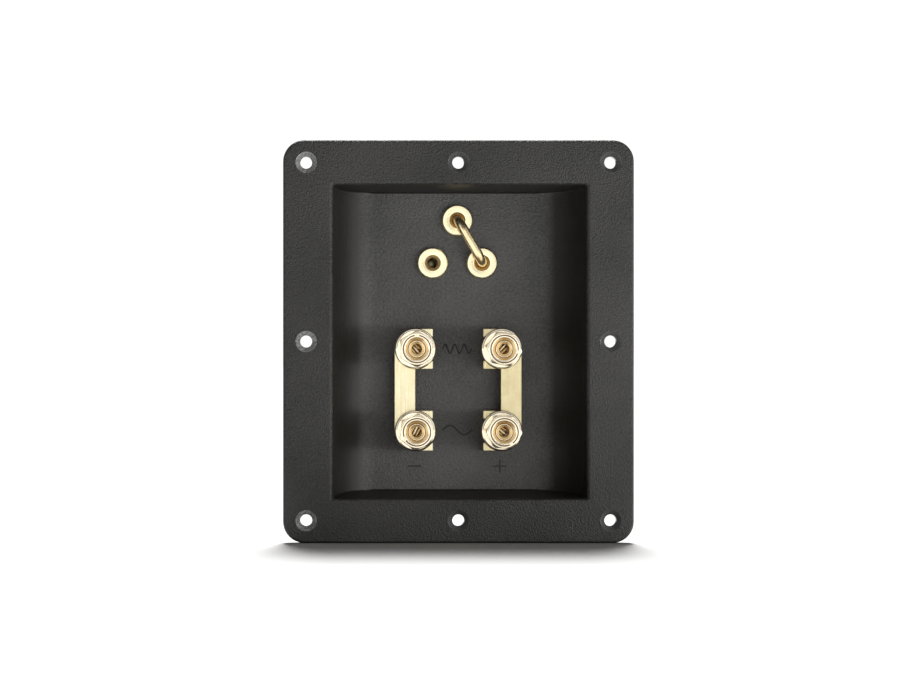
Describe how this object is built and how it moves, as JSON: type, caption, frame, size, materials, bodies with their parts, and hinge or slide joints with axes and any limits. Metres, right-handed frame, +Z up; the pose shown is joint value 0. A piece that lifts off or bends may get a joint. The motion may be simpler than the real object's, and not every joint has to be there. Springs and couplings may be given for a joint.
{
  "type": "loudspeaker terminal plate",
  "caption": "Recessed bi-wire loudspeaker terminal plate with gold binding posts, C-shaped jumper bars and 4 mm level sockets bridged by a plug-in link.",
  "frame": {"origin": "centre of the plate on the rear, mounting face of its flange", "axes": "+X right and +Z up as seen from the front, where the posts are; the front faces -Y and +Y points into the cabinet"},
  "size_m": [0.132, 0.043, 0.1516],
  "materials": {
    "black_plastic": "fine grained moulded, satin",
    "bright_gold": "turned brass, pale bright gold plating",
    "deep_gold": "turned brass, gold plating",
    "socket_gold": "turned brass, gold plating",
    "bar_gold": "stamped brass sheet, satin gold plating",
    "spring_steel": "zinc plated spring steel",
    "tinned_brass": "tinned brass sheet"
  },
  "bodies": {
    "plate": {"terminal_plate": "black_plastic", "post_stud_hf_minus": "deep_gold", "post_solder_lug_hf_minus": "tinned_brass", "post_lock_washer_hf_minus": "spring_steel", "post_nut_hf_minus": "deep_gold", "post_stud_hf_plus": "deep_gold", "post_solder_lug_hf_plus": "tinned_brass", "post_lock_washer_hf_plus": "spring_steel", "post_nut_hf_plus": "deep_gold", "post_stud_lf_minus": "deep_gold", "post_solder_lug_lf_minus": "tinned_brass", "post_lock_washer_lf_minus": "spring_steel", "post_nut_lf_minus": "deep_gold", "post_stud_lf_plus": "deep_gold", "post_solder_lug_lf_plus": "tinned_brass", "post_lock_washer_lf_plus": "spring_steel", "post_nut_lf_plus": "deep_gold", "socket_top": "socket_gold", "socket_solder_tag_top": "tinned_brass", "socket_lock_washer_top": "spring_steel", "socket_nut_top": "deep_gold", "socket_left": "socket_gold", "socket_solder_tag_left": "tinned_brass", "socket_lock_washer_left": "spring_steel", "socket_nut_left": "deep_gold", "socket_right": "socket_gold", "socket_solder_tag_right": "tinned_brass", "socket_lock_washer_right": "spring_steel", "socket_nut_right": "deep_gold"},
    "collar_hf_minus": {"clamp_collar_hf_minus": "bright_gold"},
    "knob_hf_minus": {"knob_hf_minus": "bright_gold"},
    "collar_hf_plus": {"clamp_collar_hf_plus": "bright_gold"},
    "knob_hf_plus": {"knob_hf_plus": "bright_gold"},
    "collar_lf_minus": {"clamp_collar_lf_minus": "bright_gold"},
    "knob_lf_minus": {"knob_lf_minus": "bright_gold"},
    "collar_lf_plus": {"clamp_collar_lf_plus": "bright_gold"},
    "knob_lf_plus": {"knob_lf_plus": "bright_gold"},
    "bar_minus": {"jumper_bar_minus": "bar_gold"},
    "bar_plus": {"jumper_bar_plus": "bar_gold"},
    "link": {"level_link": "bright_gold"}
  },
  "joints": [
    {"name": "collar_hf_minus_travel", "type": "slide", "parent": "plate", "child": "collar_hf_minus", "axis": [0, -1, 0], "range_m": [0, 0.006]},
    {"name": "knob_hf_minus_turn", "type": "hinge", "parent": "collar_hf_minus", "child": "knob_hf_minus", "pos_m": [-0.01555, 0.003, -0.0028], "axis": [0, -1, 0], "range_deg": [0, 2150]},
    {"name": "collar_hf_plus_travel", "type": "slide", "parent": "plate", "child": "collar_hf_plus", "axis": [0, -1, 0], "range_m": [0, 0.006]},
    {"name": "knob_hf_plus_turn", "type": "hinge", "parent": "collar_hf_plus", "child": "knob_hf_plus", "pos_m": [0.01745, 0.003, -0.0028], "axis": [0, -1, 0], "range_deg": [0, 2150]},
    {"name": "collar_lf_minus_travel", "type": "slide", "parent": "plate", "child": "collar_lf_minus", "axis": [0, -1, 0], "range_m": [0, 0.006]},
    {"name": "knob_lf_minus_turn", "type": "hinge", "parent": "collar_lf_minus", "child": "knob_lf_minus", "pos_m": [-0.01555, 0.003, -0.0342], "axis": [0, -1, 0], "range_deg": [0, 2150]},
    {"name": "collar_lf_plus_travel", "type": "slide", "parent": "plate", "child": "collar_lf_plus", "axis": [0, -1, 0], "range_m": [0, 0.006]},
    {"name": "knob_lf_plus_turn", "type": "hinge", "parent": "collar_lf_plus", "child": "knob_lf_plus", "pos_m": [0.01745, 0.003, -0.0342], "axis": [0, -1, 0], "range_deg": [0, 2150]},
    {"name": "bar_minus_slide", "type": "slide", "parent": "plate", "child": "bar_minus", "axis": [-1, 0, 0], "range_m": [0, 0.0125]},
    {"name": "bar_plus_slide", "type": "slide", "parent": "plate", "child": "bar_plus", "axis": [1, 0, 0], "range_m": [0, 0.0125]},
    {"name": "link_pull", "type": "slide", "parent": "plate", "child": "link", "axis": [0, -1, 0], "range_m": [0, 0.0165]}
  ],
  "couplings": [
    {"joint": "collar_hf_minus_travel", "follows": "knob_hf_minus_turn", "m_per_rad": 0.00015915},
    {"joint": "collar_hf_plus_travel", "follows": "knob_hf_plus_turn", "m_per_rad": 0.00015915},
    {"joint": "collar_lf_minus_travel", "follows": "knob_lf_minus_turn", "m_per_rad": 0.00015915},
    {"joint": "collar_lf_plus_travel", "follows": "knob_lf_plus_turn", "m_per_rad": 0.00015915}
  ]
}
